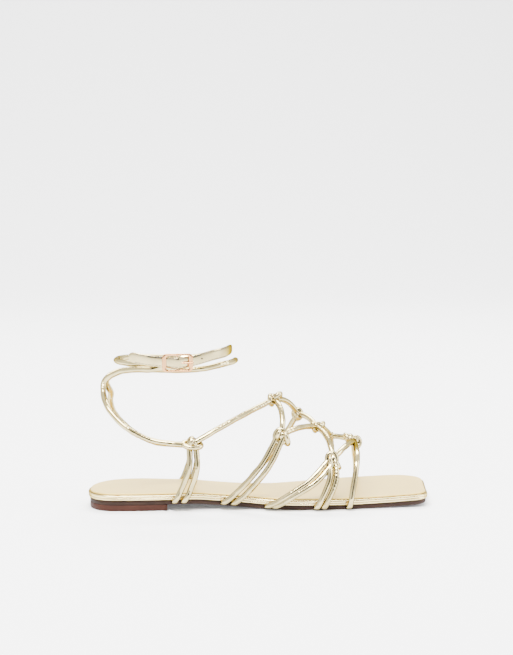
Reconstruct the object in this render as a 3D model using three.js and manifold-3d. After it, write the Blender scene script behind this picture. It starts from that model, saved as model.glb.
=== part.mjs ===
// Flat knotted strap sandal for the right foot, in millimetres.
// X runs from heel to toe, Y to the inner side of the foot, Z up from the floor.
// The origin is the middle of the heel block's underside, on the floor.
import * as THREE from 'three';
import { mergeVertices } from 'three/addons/utils/BufferGeometryUtils.js';
import Module from 'manifold-3d';

const wasm = await Module();
wasm.setup();

// Sole sizes
const LENGTH = 250;
const BALL_HALF = 40;
const HEEL_LENGTH = 57;
const HEEL_LIFT = 4.4;
const TOE_SPRING = 2.6;
const OUTSOLE = 3.6;
const RIM = 4.8;
const SOCK = 1;
const OUTSOLE_INSET = 1.1;
const SOCK_INSET = 1.6;
const EDGE_ROUND = 0.9;
const CLEAR = 0.3;

// Upper sizes: cords, the instep knot's height and the ankle's reach
const CORD = 2.1;
const KNOT_CORD = 1.85;
const INSTEP = 75;
const ANKLE_HALF = 30;
const BUCKLE_UP = 106.8;
const TAIL_THICK = 1.4;
const TAIL_WIDE = 5.4;
const TAIL_REACH = 8;
const STRAP_THICK = 1.4;
const STRAP_WIDE = 7.6;

// Buckle sizes: a flat frame with a set-back centre bar and a prong
const FRAME_LONG = 21.7;
const FRAME_TALL = 13;
const FRAME_THICK = 1.8;
const FRAME_BAR = 3;
const FRAME_RAIL = 1.6;
const FRAME_CORNER = 3;
const BAR_RADIUS = 0.6;
const POST_RADIUS = 0.78;
const PRONG_RADIUS = 0.55;
const CHAPE_THICK = 1;
const CHAPE_WIDE = 6.4;
const BUCKLE_ALONG = 0.256;
const BUCKLE_SET_IN = 0.4;
const BUCKLE_OUT = ANKLE_HALF - BUCKLE_SET_IN;

// Footbed half widths, as shares of BALL_HALF, by share of LENGTH
const WIDTHS = [
  { along: 0.09, lateral: 0.735, medial: 0.72 },
  { along: 0.15, lateral: 0.76, medial: 0.745 },
  { along: 0.25, lateral: 0.75, medial: 0.635 },
  { along: 0.36, lateral: 0.715, medial: 0.54 },
  { along: 0.44, lateral: 0.75, medial: 0.515 },
  { along: 0.53, lateral: 0.87, medial: 0.6 },
  { along: 0.61, lateral: 0.96, medial: 0.72 },
  { along: 0.69, lateral: 0.975, medial: 0.87 },
  { along: 0.78, lateral: 0.955, medial: 1 },
  { along: 0.86, lateral: 0.93, medial: 1.01 },
  { along: 0.94, lateral: 0.9, medial: 0.94 },
];

// Underside of the outsole: shares of HEEL_LIFT and of TOE_SPRING
const PAST_HEEL = 16;
const PROFILE = [
  { along: 0, lift: 1, spring: 0 },
  { along: (HEEL_LENGTH + PAST_HEEL) / LENGTH, lift: 1, spring: 0 },
  { along: 0.36, lift: 0.72, spring: 0 },
  { along: 0.44, lift: 0.36, spring: 0 },
  { along: 0.5, lift: 0.13, spring: 0 },
  { along: 0.56, lift: 0, spring: 0 },
  { along: 0.72, lift: 0, spring: 0 },
  { along: 0.84, lift: 0, spring: 0.27 },
  { along: 0.93, lift: 0, spring: 0.66 },
  { along: 1, lift: 0, spring: 1 },
];

// Rounded ends of each side: depth along X, height across Y and squareness
const HEEL_POINT = -6;
const TOE_SLANT = 4.8;
const ENDS = {
  lateral: { side: -1, heelDepth: 22, heelPower: 2.3, toeDepth: 12, toeFrom: -24, toePower: 2 },
  medial: { side: 1, heelDepth: 32, heelPower: 2.1, toeDepth: 32, toeFrom: 14, toePower: 2.2 },
};

// Knots of the upper: shares of LENGTH, BALL_HALF and INSTEP
const KNOTS = {
  rearLateral: { along: 0.296, across: -0.75, up: 0.642 },
  rearMedial: { along: 0.31, across: 0.75, up: 0.5 },
  instep: { along: 0.544, across: 0, up: 1 },
  midLateral: { along: 0.551, across: -0.7, up: 0.708 },
  midMedial: { along: 0.622, across: 0.55, up: 0.805 },
  centre: { along: 0.667, across: 0.05, up: 0.72 },
  foreLateral: { along: 0.698, across: -0.8, up: 0.475 },
  foreMedial: { along: 0.725, across: 0.7, up: 0.562 },
  front: { along: 0.782, across: 0.1, up: 0.568 },
};

// The loops of each knot: which way its axis and its long side point, where its middle lies
// from the knot's, and its two half lengths, in shares of KNOT_CORD
const LOOPS = [
  { knot: 'rearLateral', axis: [0.1, -0.37, 1], side: [1, 0, 0], at: [0, 0, -0.2], half: [3.5, 2.3] },
  { knot: 'rearLateral', axis: [0.9, 0.2, -0.5], side: [0, 0, 1], at: [-0.9, 0, 0.8], half: [1.7, 1.6] },
  { knot: 'rearMedial', axis: [0.1, 0.37, 1], side: [1, 0, 0], at: [0, 0, -0.2], half: [3.4, 2.3] },
  { knot: 'rearMedial', axis: [0.9, -0.2, -0.5], side: [0, 0, 1], at: [-0.9, 0, 0.8], half: [1.7, 1.6] },
  { knot: 'instep', axis: [1, -0.3, 0.2], side: [0, 0, 1], at: [-1.4, 0, -0.3], half: [1.8, 1.8] },
  { knot: 'instep', axis: [0.7, -0.5, -0.6], side: [0, 0, 1], at: [1.1, 0, 0.9], half: [1.7, 1.6] },
  { knot: 'midLateral', axis: [-0.2, -1, 0.3], side: [0, 0, 1], at: [-0.2, 0, -0.3], half: [2.6, 2.2] },
  { knot: 'midLateral', axis: [1, 0.3, 0.25], side: [0, 0, 1], at: [1.9, -0.4, -1.3], half: [2.1, 1.5] },
  { knot: 'midMedial', axis: [-0.3, -1, 0.2], side: [0, 0, 1], at: [0, 0, 0], half: [1.9, 1.5] },
  { knot: 'midMedial', axis: [1, 0.4, 0.3], side: [0, 0, 1], at: [-0.8, 0, -0.6], half: [1.6, 1.4] },
  { knot: 'centre', axis: [1, -0.2, 0.3], side: [0, 0, 1], at: [-0.75, 0, -0.3], half: [1.4, 1.6] },
  { knot: 'centre', axis: [0.8, -0.3, -0.5], side: [0, 0, 1], at: [2.1, 0, 0.1], half: [1.4, 1.5] },
  { knot: 'foreLateral', axis: [-0.1, -1, 0.4], side: [0, 0, 1], at: [-0.3, 0, 0.6], half: [2, 1.8] },
  { knot: 'foreLateral', axis: [1, -0.1, 0.55], side: [0, 0, 1], at: [1.6, -0.3, -1.6], half: [1.7, 1.5] },
  { knot: 'foreMedial', axis: [0.1, 0.5, 1], side: [1, 0, 0], at: [0, 0, 0], half: [1.2, 1.2] },
  { knot: 'front', axis: [0.3, -1, 0.3], side: [0, 0, 1], at: [0.9, 0, -0.4], half: [1.8, 1.5] },
  { knot: 'front', axis: [1, 0.2, 0.55], side: [0, 0, 1], at: [-2.9, 0, 1.2], half: [1.3, 1.5] },
  { knot: 'front', axis: [1, -0.2, 0.3], side: [0, 0, 1], at: [-1.1, 0, 0.6], half: [1.4, 1.5] },
];

// Single cords from knot to knot, with how far their middle strays, in shares of STRAY
const STRAY = 4 * CORD;
const LINKS = [
  { from: 'rearLateral', to: 'instep', toward: 0, out: -1, rise: 0.45 },
  { from: 'rearMedial', to: 'instep', toward: 0, out: 1.25, rise: 0 },
  { from: 'instep', to: 'midLateral', toward: 0.6, out: -1, rise: 0.7 },
  { from: 'instep', to: 'midMedial', toward: 0.25, out: 0.5, rise: 0.8 },
  { from: 'midLateral', to: 'centre', toward: 0, out: -0.3, rise: 0.6 },
  { from: 'midMedial', to: 'centre', toward: 0.3, out: 0.5, rise: 0.4 },
  { from: 'centre', to: 'foreLateral', toward: 0.5, out: -0.8, rise: 0.9 },
  { from: 'centre', to: 'foreMedial', toward: 0.1, out: 0.3, rise: 0.5 },
  { from: 'foreLateral', to: 'front', toward: 0.3, out: -0.9, rise: 0.9 },
  { from: 'foreMedial', to: 'front', toward: 0.3, out: 0.7, rise: 0.1 },
];

// Cords from a knot to the sole: how many, where they enter it, how far apart in shares
// of CORD, how they lean over the rim, and how far their middle strays in shares of CORD
const LEGS = [
  { knot: 'rearLateral', side: -1, cords: 2, along: 0.258, spread: 3.2, lean: 0.55, stray: [1.4, 1.2, 0] },
  { knot: 'midLateral', side: -1, cords: 2, along: 0.4, spread: 3.4, lean: 1.1, stray: [1, 1.6, -0.6] },
  { knot: 'foreLateral', side: -1, cords: 2, along: 0.521, spread: 2.3, lean: 1.6, stray: [0.5, 1.6, -0.8] },
  { knot: 'foreLateral', side: -1, cords: 2, along: 0.66, spread: 2.4, lean: 0.5, stray: [1, 1.4, 0] },
  { knot: 'front', side: -1, cords: 1, along: 0.743, spread: 0, lean: 0.2, stray: [0.6, 5, 4] },
  { knot: 'rearMedial', side: 1, cords: 2, along: 0.283, spread: 3.2, lean: 0.5, stray: [1, 1, 0] },
  { knot: 'midMedial', side: 1, cords: 1, along: 0.462, spread: 0, lean: 0.6, stray: [0.6, 2, -1.6] },
  { knot: 'foreMedial', side: 1, cords: 1, along: 0.728, spread: 0, lean: 0.3, stray: [0.6, 2, 0] },
  { knot: 'front', side: 1, cords: 1, along: 0.81, spread: 0, lean: 0.1, stray: [0.2, 5, 4] },
];

// Long ankle strap, from the lateral rear knot twice round the ankle and through the buckle:
// shares of LENGTH, ANKLE_HALF and BUCKLE_UP, and how flat it is
const LONG_STRAP = [
  { along: 0.267, across: -1.01, up: 0.448, flat: 0 },
  { along: 0.245, across: -1.02, up: 0.455, flat: 0 },
  { along: 0.18, across: -0.93, up: 0.478, flat: 0 },
  { along: 0.111, across: -0.8, up: 0.558, flat: 0 },
  { along: 0.064, across: -0.47, up: 0.666, flat: 0 },
  { along: 0.048, across: 0, up: 0.762, flat: 0 },
  { along: 0.054, across: 0.27, up: 0.84, flat: 0 },
  { along: 0.087, across: 0.53, up: 0.883, flat: 0 },
  { along: 0.146, across: 0.8, up: 0.891, flat: 0 },
  { along: 0.22, across: 0.97, up: 0.876, flat: 0 },
  { along: 0.309, across: 1, up: 0.873, flat: 0 },
  { along: 0.382, across: 0.8, up: 0.905, flat: 0 },
  { along: 0.422, across: 0.4, up: 0.947, flat: 0 },
  { along: 0.43, across: 0, up: 0.975, flat: 0 },
  { along: 0.415, across: -0.35, up: 0.974, flat: 0 },
  { along: 0.383, across: -0.62, up: 0.968, flat: 0 },
  { along: 0.336, across: -0.77, up: 0.95, flat: 0 },
  { along: 0.28, across: -0.8, up: 0.944, flat: 0 },
  { along: 0.212, across: -0.79, up: 0.965, flat: 0 },
  { along: 0.169, across: -0.73, up: 0.976, flat: 0 },
  { along: 0.134, across: -0.62, up: 0.979, flat: 0 },
  { along: 0.104, across: -0.42, up: 0.983, flat: 0 },
  { along: 0.088, across: -0.1, up: 0.984, flat: 0 },
  { along: 0.092, across: 0.24, up: 0.984, flat: 0 },
  { along: 0.132, across: 0.63, up: 0.982, flat: 0 },
  { along: 0.191, across: 0.87, up: 0.971, flat: 0 },
  { along: 0.309, across: 0.96, up: 0.964, flat: 0 },
  { along: 0.38, across: 0.73, up: 0.998, flat: 0 },
  { along: 0.412, across: 0.27, up: 1.04, flat: 0.2 },
  { along: 0.416, across: 0, up: 1.052, flat: 0.5 },
  { along: 0.41, across: -0.3, up: 1.056, flat: 0.9 },
  { along: 0.389, across: -0.67, up: 1.05, flat: 1 },
  { along: 0.358, across: -0.89, up: 1.042, flat: 1 },
  { along: 0.324, across: -1.005, up: 1.024, flat: 1 },
  { along: 0.295, across: -1.023, up: 1.008, flat: 1 },
  { along: 0.256, across: -1.023, up: 1, flat: 1 },
  { along: 0.217, across: -1.023, up: 1.006, flat: 1 },
  { along: 0.169, across: -1, up: 1.018, flat: 1 },
  { along: 0.122, across: -0.84, up: 1.036, flat: 1 },
];

// Short ankle strap, from the medial rear knot round the back to the buckle's centre bar
const SHORT_STRAP = [
  { along: 0.292, across: 1, up: 0.35, flat: 0 },
  { along: 0.255, across: 1.02, up: 0.352, flat: 0 },
  { along: 0.203, across: 1, up: 0.366, flat: 0 },
  { along: 0.13, across: 0.83, up: 0.463, flat: 0 },
  { along: 0.08, across: 0.55, up: 0.6, flat: 0 },
  { along: 0.068, across: 0.27, up: 0.69, flat: 0 },
  { along: 0.0695, across: 0, up: 0.765, flat: 0 },
  { along: 0.057, across: -0.25, up: 0.855, flat: 0 },
  { along: 0.089, across: -0.52, up: 0.92, flat: 0 },
  { along: 0.141, across: -0.8, up: 0.948, flat: 0 },
  { along: 0.183, across: -0.92, up: 0.952, flat: 0.1 },
  { along: 0.208, across: -0.935, up: 0.97, flat: 0.6 },
  { along: 0.228, across: -0.97, up: 0.996, flat: 1 },
];

// Smooth reading of one column of a table, which keeps level stretches level
function read(table, column, along) {
  const last = table.length - 1;
  if (along <= table[0].along) return table[0][column];
  if (along >= table[last].along) return table[last][column];
  const row = table.findIndex((entry) => entry.along > along) - 1;
  const gap = (k) => table[k + 1].along - table[k].along;
  const rate = (k) => (table[k + 1][column] - table[k][column]) / gap(k);
  const slope = (k) => {
    if (k === 0) return rate(0);
    if (k === last) return rate(last - 1);
    const [before, after] = [rate(k - 1), rate(k)];
    return before * after > 0 ? (2 * before * after) / (before + after) : 0;
  };
  const t = (along - table[row].along) / gap(row);
  const [p, q] = [table[row][column], table[row + 1][column]];
  const [m, n] = [slope(row) * gap(row), slope(row + 1) * gap(row)];
  return p + t * (m + t * (3 * (q - p) - 2 * m - n + t * (2 * (p - q) + m + n)));
}

// Places on the sole
const place = (x) => x - HEEL_LENGTH / 2;
const underside = (x) =>
  HEEL_LIFT * read(PROFILE, 'lift', x / LENGTH) + TOE_SPRING * read(PROFILE, 'spring', x / LENGTH);
const seam = (x) => underside(x) + OUTSOLE;
const bed = (x) => seam(x) + RIM;
const edge = (side, x) => side * BALL_HALF * read(WIDTHS, side < 0 ? 'lateral' : 'medial', x / LENGTH);

// One side of the footbed's outline, from heel to toe, as [x, y] pairs
function sideOutline({ side, heelDepth, heelPower, toeDepth, toeFrom, toePower }) {
  const corners = 5;
  const stations = 12;
  const front = LENGTH - (side < 0 ? TOE_SLANT : 0);
  const toeStart = front - toeDepth;
  const heelReach = Math.abs(edge(side, heelDepth) - HEEL_POINT);
  const toeReach = Math.abs(edge(side, toeStart) - toeFrom);
  const points = [];
  for (let k = 1; k <= corners; k++) {
    const turn = (k / corners) * (Math.PI / 2);
    points.push([
      heelDepth - heelDepth * Math.cos(turn) ** (2 / heelPower),
      HEEL_POINT + side * heelReach * Math.sin(turn) ** (2 / heelPower),
    ]);
  }
  for (let k = 1; k < stations; k++) {
    const x = heelDepth + ((toeStart - heelDepth) * k) / stations;
    points.push([x, edge(side, x)]);
  }
  for (let k = corners; k >= 0; k--) {
    const turn = (k / corners) * (Math.PI / 2);
    points.push([
      toeStart + toeDepth * Math.cos(turn) ** (2 / toePower),
      toeFrom + side * toeReach * Math.sin(turn) ** (2 / toePower),
    ]);
  }
  return points;
}

const OUTLINE = [
  [0, HEEL_POINT],
  ...sideOutline(ENDS.lateral),
  ...sideOutline(ENDS.medial).reverse(),
];

// A loop of the outline moved in by an inset, at a height worked out from x
function ring(inset, height, outline = OUTLINE) {
  const count = outline.length;
  return outline.map(([x, y], k) => {
    const [x0, y0] = outline[(k + count - 1) % count];
    const [x1, y1] = outline[(k + 1) % count];
    const span = Math.hypot(x1 - x0, y1 - y0);
    const [inX, inY] = [x - (inset * (y1 - y0)) / span, y + (inset * (x1 - x0)) / span];
    return new THREE.Vector3(place(inX), inY, height(x));
  });
}

// The closed mesh through a list of loops with equal numbers of points, capped in strips
function loft(rings) {
  const count = rings[0].length;
  const index = [];
  rings.slice(1).forEach((_, r) => {
    for (let k = 0; k < count; k++) {
      const [a, b] = [r * count + k, r * count + ((k + 1) % count)];
      index.push(a, b, b + count, a, b + count, a + count);
    }
  });
  const top = (rings.length - 1) * count;
  const cap = (a, b, c) => index.push(a, c, b, top + a, top + b, top + c);
  let [low, high] = [1, count - 1];
  cap(0, low, high);
  while (high - low > 1) {
    cap(low, low + 1, high);
    low += 1;
    if (high - low > 1) {
      cap(low, high - 1, high);
      high -= 1;
    }
  }
  return solidOf(rings.flat().flatMap((p) => [p.x, p.y, p.z]), index);
}

const solidOf = (positions, index) =>
  new wasm.Manifold(
    new wasm.Mesh({
      numProp: 3,
      vertProperties: Float32Array.from(positions),
      triVerts: Uint32Array.from(index),
    }),
  );
const join = (pieces) => pieces.reduce((whole, piece) => whole.add(piece));
const outerBody = (solid) =>
  solid.decompose().reduce((most, shell) => (shell.volume() > most.volume() ? shell : most));

// A cord or strap: six-sided sections along a curve, wide along one axis, thin along the other
const SIDES = 6;
const ROUNDNESS = 1.05;
function sweep(points, sizeAt, wideAxis) {
  const last = points.length - 1;
  return loft(
    points.map((point, k) => {
      const ahead = points[Math.min(k + 1, last)].clone().sub(points[Math.max(k - 1, 0)]).normalize();
      const wide = wideAxis.clone().addScaledVector(ahead, -wideAxis.dot(ahead)).normalize();
      const thin = ahead.clone().cross(wide);
      const { halfWide, halfThick } = sizeAt(k / last, k);
      return Array.from({ length: SIDES }, (_, s) => {
        const turn = (s / SIDES) * 2 * Math.PI;
        return point
          .clone()
          .addScaledVector(wide, Math.cos(turn) * halfWide * ROUNDNESS)
          .addScaledVector(thin, Math.sin(turn) * halfThick * ROUNDNESS);
      });
    }),
  );
}

// A round cord along a curve, for stretches with no width of their own
function cord(curve, radius, steps) {
  const section = new THREE.Shape(
    Array.from({ length: SIDES }, (_, s) => {
      const turn = (s / SIDES) * 2 * Math.PI;
      return new THREE.Vector2(Math.cos(turn), Math.sin(turn)).multiplyScalar(radius * ROUNDNESS);
    }),
  );
  const tube = new THREE.ExtrudeGeometry(section, { steps, extrudePath: curve, bevelEnabled: false });
  return solidFromGeometry(tube);
}

function solidFromGeometry(geometry) {
  geometry.deleteAttribute('normal');
  geometry.deleteAttribute('uv');
  const merged = mergeVertices(geometry);
  return solidOf(merged.attributes.position.array, merged.index.array);
}

const vector = (x, y, z) => new THREE.Vector3(x, y, z);
const inShares = ([along, across, up]) => vector(place(along * LENGTH), across * BALL_HALF, up * INSTEP);

const knotPlace = (name) => inShares([KNOTS[name].along, KNOTS[name].across, KNOTS[name].up]);

// A closed loop of cord: its two half directions are the ellipse that it follows
const LOOP_STEPS = 12;
const KNOT_SIDES = 5;
function loopSolid({ knot: name, axis, side, at, half: [long, short] }, radius) {
  const middle = knotPlace(name).addScaledVector(vector(...at), KNOT_CORD);
  const through = vector(...axis).normalize();
  const longWay = vector(...side).addScaledVector(through, -through.dot(vector(...side))).normalize();
  const shortWay = through.clone().cross(longWay);
  const positions = [];
  const index = [];
  for (let k = 0; k < LOOP_STEPS; k++) {
    const turn = (k / LOOP_STEPS) * 2 * Math.PI;
    const out = longWay.clone().multiplyScalar(Math.cos(turn) * long * KNOT_CORD);
    out.addScaledVector(shortWay, Math.sin(turn) * short * KNOT_CORD);
    const spot = middle.clone().add(out);
    const outward = longWay.clone().multiplyScalar(Math.cos(turn) * short);
    outward.addScaledVector(shortWay, Math.sin(turn) * long).normalize();
    for (let s = 0; s < KNOT_SIDES; s++) {
      const lean = (s / KNOT_SIDES) * 2 * Math.PI;
      const corner = spot.clone().addScaledVector(outward, Math.cos(lean) * radius * ROUNDNESS);
      corner.addScaledVector(through, Math.sin(lean) * radius * ROUNDNESS);
      positions.push(corner.x, corner.y, corner.z);
      const next = (k + 1) % LOOP_STEPS;
      const [a, b] = [k * KNOT_SIDES + s, k * KNOT_SIDES + ((s + 1) % KNOT_SIDES)];
      const [c, d] = [next * KNOT_SIDES + s, next * KNOT_SIDES + ((s + 1) % KNOT_SIDES)];
      index.push(a, c, b, b, c, d);
    }
  }
  return solidOf(positions, index);
}

// A tightened knot: its loops round a full heart
const HEART = 1.5;
const SLIVER = 0.14;
function knot(name, radius = KNOT_CORD) {
  const heart = new THREE.SphereGeometry(HEART * KNOT_CORD + radius - KNOT_CORD, 6, 4);
  const middle = knotPlace(name);
  heart.translate(middle.x, middle.y, middle.z);
  const loops = LOOPS.filter((row) => row.knot === name).map((row) => loopSolid(row, radius));
  return join([solidFromGeometry(heart), ...loops]);
}

// A cord from one knot to the next, bowed over the foot
const LINK_STEP = 10.5;
function link({ from, to, toward, out, rise }) {
  const [a, b] = [knotPlace(from), knotPlace(to)];
  const stray = vector(toward, out, rise).multiplyScalar(STRAY);
  const middle = a.clone().add(b).multiplyScalar(0.5).add(stray);
  const curve = new THREE.QuadraticBezierCurve3(a, middle, b);
  return cord(curve, CORD, Math.ceil(curve.getLength() / LINK_STEP));
}

// One cord of a leg: from its knot down to the rim, round it and in between footbed and outsole
const PAIR_HALF = CORD + CLEAR / 2;
const pairOf = ({ cords }) => (cords === 1 ? [0] : [-1, 1]);
const LEG_STEP = 10;
const TURN_STEP = 3.75;
const TURN_LENGTH = 15;
const LEAN_TOP = 1.6;
const LEAN_SIDE = 0.7;
const OFF_RIM = CORD + 3 * CLEAR;
function legCord({ knot: name, side, along, spread, lean, stray: [toward, out, rise] }, pair) {
  const x = along * LENGTH + (pair * spread * CORD) / 2;
  const overRim = x + lean * RIM * LEAN_TOP;
  const besideRim = x + lean * RIM * LEAN_SIDE;
  const tail = seam(x) - 2 * CLEAR - TAIL_THICK / 2;
  const beside = (station, gap) => edge(side, station) + side * gap;
  const land = vector(place(overRim), beside(overRim, OFF_RIM), bed(overRim) + CORD);
  const fall = land.clone().sub(knotPlace(name));
  const apart = fall.cross(vector(0, side, 1)).normalize();
  const leave = knotPlace(name).addScaledVector(apart, pair * Math.sign(apart.x) * PAIR_HALF);
  const middle = leave.clone().add(land).multiplyScalar(0.5);
  middle.add(vector(toward, side * out, rise).multiplyScalar(CORD));
  const points = [
    leave,
    middle,
    land,
    vector(place(besideRim), beside(besideRim, OFF_RIM + CLEAR), seam(besideRim) + RIM / 2),
    vector(place(x), beside(x, CORD + CLEAR), seam(x) - 2 * CLEAR),
    vector(place(x), beside(x, -CORD), tail),
    vector(place(x), beside(x, -TAIL_REACH), tail),
  ];
  const curve = new THREE.CatmullRomCurve3(points, false, 'centripetal');
  const length = curve.getLength();
  const upper = Math.ceil((length - TURN_LENGTH) / LEG_STEP);
  const turns = Math.ceil(TURN_LENGTH / TURN_STEP);
  const left = [
    ...Array.from({ length: upper }, (_, k) => length - ((length - TURN_LENGTH) * k) / upper),
    ...Array.from({ length: turns + 1 }, (_, k) => (TURN_LENGTH * (turns - k)) / turns),
  ];
  const sizeAt = (_, k) => {
    const flat = 1 - THREE.MathUtils.smoothstep(left[k], TAIL_REACH - CLEAR * 3, TAIL_REACH + CORD * 2);
    return {
      halfWide: THREE.MathUtils.lerp(CORD, TAIL_WIDE / 2, flat),
      halfThick: THREE.MathUtils.lerp(CORD, TAIL_THICK / 2, flat),
    };
  };
  return sweep(left.map((rest) => curve.getPointAt(1 - rest / length)), sizeAt, vector(1, 0, 0));
}

// The recess in the outsole that takes a leg's two tails, open at the top and the side
function tailRecess({ side, along, spread }) {
  const x = along * LENGTH;
  const half = (spread * CORD + TAIL_WIDE) / 2 + 3 * CLEAR;
  const deep = TAIL_THICK + 3 * CLEAR;
  const nearest = Math.min(...[x - half, x, x + half].map((station) => Math.abs(edge(side, station))));
  const inner = side * (nearest - TAIL_REACH - CLEAR);
  const outer = edge(side, x) + side * 2 * CORD;
  const recess = new THREE.BoxGeometry(2 * half, Math.abs(outer - inner), 2 * deep);
  recess.rotateY(Math.atan2(seam(x - half) - seam(x + half), 2 * half));
  recess.translate(place(x), (inner + outer) / 2, seam(x) - CLEAR);
  return solidFromGeometry(recess);
}

// Sole pieces
function outsole() {
  const low = (x) => underside(x);
  const body = loft([
    ring(OUTSOLE_INSET + EDGE_ROUND, low),
    ring(OUTSOLE_INSET, (x) => low(x) + EDGE_ROUND),
    ring(OUTSOLE_INSET, (x) => seam(x) - CLEAR),
  ]);
  return LEGS.reduce((whole, leg) => whole.subtract(tailRecess(leg)), body);
}

function heelBlock() {
  const sideShape = (end) => sideOutline(end).filter(([x]) => x < HEEL_LENGTH - OUTSOLE_INSET);
  const close = (side) => [HEEL_LENGTH, edge(side, HEEL_LENGTH)];
  const outline = [
    [0, HEEL_POINT],
    ...sideShape(ENDS.lateral),
    close(-1),
    close(1),
    ...sideShape(ENDS.medial).reverse(),
  ];
  return loft([
    ring(OUTSOLE_INSET + EDGE_ROUND / 2, () => 0, outline),
    ring(OUTSOLE_INSET, () => EDGE_ROUND / 2, outline),
    ring(OUTSOLE_INSET, () => HEEL_LIFT, outline),
  ]);
}

function footbed() {
  const top = (x) => bed(x) - SOCK - CLEAR;
  return loft([
    ring(EDGE_ROUND, seam),
    ring(0, (x) => seam(x) + EDGE_ROUND),
    ring(0, (x) => top(x) - EDGE_ROUND),
    ring(EDGE_ROUND, top),
  ]);
}

function insoleSock() {
  const base = (x) => bed(x) - SOCK;
  return loft([
    ring(SOCK_INSET, base),
    ring(SOCK_INSET, (x) => base(x) + SOCK / 2),
    ring(SOCK_INSET + SOCK / 2, bed),
  ]);
}

// The strap cage: legs, links and knots joined where they cross
function strapCage() {
  const cords = [
    ...LEGS.flatMap((leg) => pairOf(leg).map((pair) => legCord(leg, pair))),
    ...LINKS.map(link),
    ...Object.keys(KNOTS).map((name) => knot(name)),
  ];
  return outerBody(join(cords).simplify(SLIVER));
}

// Places at the buckle: x along, out from the ankle, z up from its middle
const SIDE_ROOM = 0.8;
const atBuckle = (x, out, z) => vector(place(BUCKLE_ALONG * LENGTH) + x, -BUCKLE_OUT - out, BUCKLE_UP + z);
const FRAME_OUT = STRAP_THICK / 2 + SIDE_ROOM + FRAME_THICK / 2 + 2 * CLEAR;
const BAR_OUT = 2 * BAR_RADIUS;
const WRAP = BAR_RADIUS + CLEAR + CHAPE_THICK / 2;
const HUMP = BAR_OUT + WRAP + (CHAPE_THICK + STRAP_THICK) / 2 - SIDE_ROOM;
const HUMP_REACH = FRAME_LONG / 2 - FRAME_BAR;

const ANKLE_STEP = 11;
const BUCKLE_STEP = 2.9;
function anklePath(table, from = 0, to = 1, step = ANKLE_STEP) {
  const curve = new THREE.CatmullRomCurve3(
    table.map(({ along, across, up }) => vector(place(along * LENGTH), across * ANKLE_HALF, up * BUCKLE_UP)),
  );
  const count = Math.ceil((curve.getLength() * (to - from)) / step);
  return Array.from({ length: count + 1 }, (_, k) => {
    const share = from + ((to - from) * k) / count;
    const t = curve.getUtoTmapping(share);
    const spot = t * (table.length - 1);
    const row = Math.min(Math.floor(spot), table.length - 2);
    const flat = THREE.MathUtils.lerp(table[row].flat, table[row + 1].flat, spot - row);
    return { point: curve.getPoint(t), flat };
  });
}

// Round cord that flattens towards its strap end
function ankleSolid(path, wide, thick) {
  return sweep(
    path.map(({ point }) => point),
    (_, k) => ({
      halfWide: THREE.MathUtils.lerp(CORD, wide / 2, path[k].flat),
      halfThick: THREE.MathUtils.lerp(CORD, thick / 2, path[k].flat),
    }),
    vector(0, 0, 1),
  );
}

// What a strap's end leaves free for the knot that holds it
const seatIn = (name) => knot(name, KNOT_CORD + CLEAR);

function longStrap() {
  const turnShare = 0.86;
  const path = [
    ...anklePath(LONG_STRAP, 0, turnShare),
    ...anklePath(LONG_STRAP, turnShare, 1, BUCKLE_STEP).slice(1),
  ];
  for (const { point, flat } of path) {
    const away = Math.abs(point.x - atBuckle(0, 0, 0).x) / HUMP_REACH;
    if (flat === 1 && away < 1) point.y -= HUMP * Math.cos((away * Math.PI) / 2) ** 2;
  }
  const strap = ankleSolid(path, STRAP_WIDE, STRAP_THICK);
  return outerBody(strap.subtract(slotSolid()).subtract(seatIn('rearLateral')));
}

const WRAP_TURNS = [-90, -45, 0, 45, 90, 130];
function shortStrap() {
  const path = anklePath(SHORT_STRAP);
  const wrap = [
    atBuckle(-3 * WRAP, -BAR_RADIUS, 0),
    ...WRAP_TURNS.map((angle) => {
      const turn = THREE.MathUtils.degToRad(angle);
      return atBuckle(Math.cos(turn) * WRAP, BAR_OUT + Math.sin(turn) * WRAP, 0);
    }),
  ].map((point) => ({ point, flat: 1 }));
  const strap = ankleSolid([...path, ...wrap], CHAPE_WIDE, CHAPE_THICK);
  return outerBody(strap.subtract(slotSolid()).subtract(seatIn('rearMedial')));
}

function buckleFrame() {
  const corner = (shape, halfLong, halfTall, radius) => {
    shape.moveTo(halfLong, 0);
    shape.absarc(halfLong - radius, halfTall - radius, radius, 0, Math.PI / 2);
    shape.absarc(radius - halfLong, halfTall - radius, radius, Math.PI / 2, Math.PI);
    shape.absarc(radius - halfLong, radius - halfTall, radius, Math.PI, 1.5 * Math.PI);
    shape.absarc(halfLong - radius, radius - halfTall, radius, 1.5 * Math.PI, 2 * Math.PI);
    return shape;
  };
  const outline = corner(new THREE.Shape(), FRAME_LONG / 2, FRAME_TALL / 2, FRAME_CORNER);
  const innerTall = FRAME_TALL / 2 - FRAME_RAIL;
  outline.holes.push(corner(new THREE.Path(), FRAME_LONG / 2 - FRAME_BAR, innerTall, FRAME_CORNER / 2));
  const plate = new THREE.ExtrudeGeometry(outline, {
    depth: FRAME_THICK,
    bevelEnabled: false,
    curveSegments: 3,
  });
  const middle = atBuckle(0, FRAME_OUT, 0);
  plate.translate(0, 0, -FRAME_THICK / 2);
  plate.rotateX(Math.PI / 2);
  plate.translate(middle.x, middle.y, middle.z);
  const railHeight = (FRAME_TALL - FRAME_RAIL) / 2;
  const post = (z) => new THREE.LineCurve3(atBuckle(0, BAR_OUT - BAR_RADIUS, z), atBuckle(0, FRAME_OUT, z));
  const bar = new THREE.LineCurve3(atBuckle(0, BAR_OUT, -railHeight), atBuckle(0, BAR_OUT, railHeight));
  return join([
    solidFromGeometry(plate),
    cord(bar, BAR_RADIUS, 1),
    cord(post(railHeight), POST_RADIUS, 1),
    cord(post(-railHeight), POST_RADIUS, 1),
  ]);
}

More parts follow.
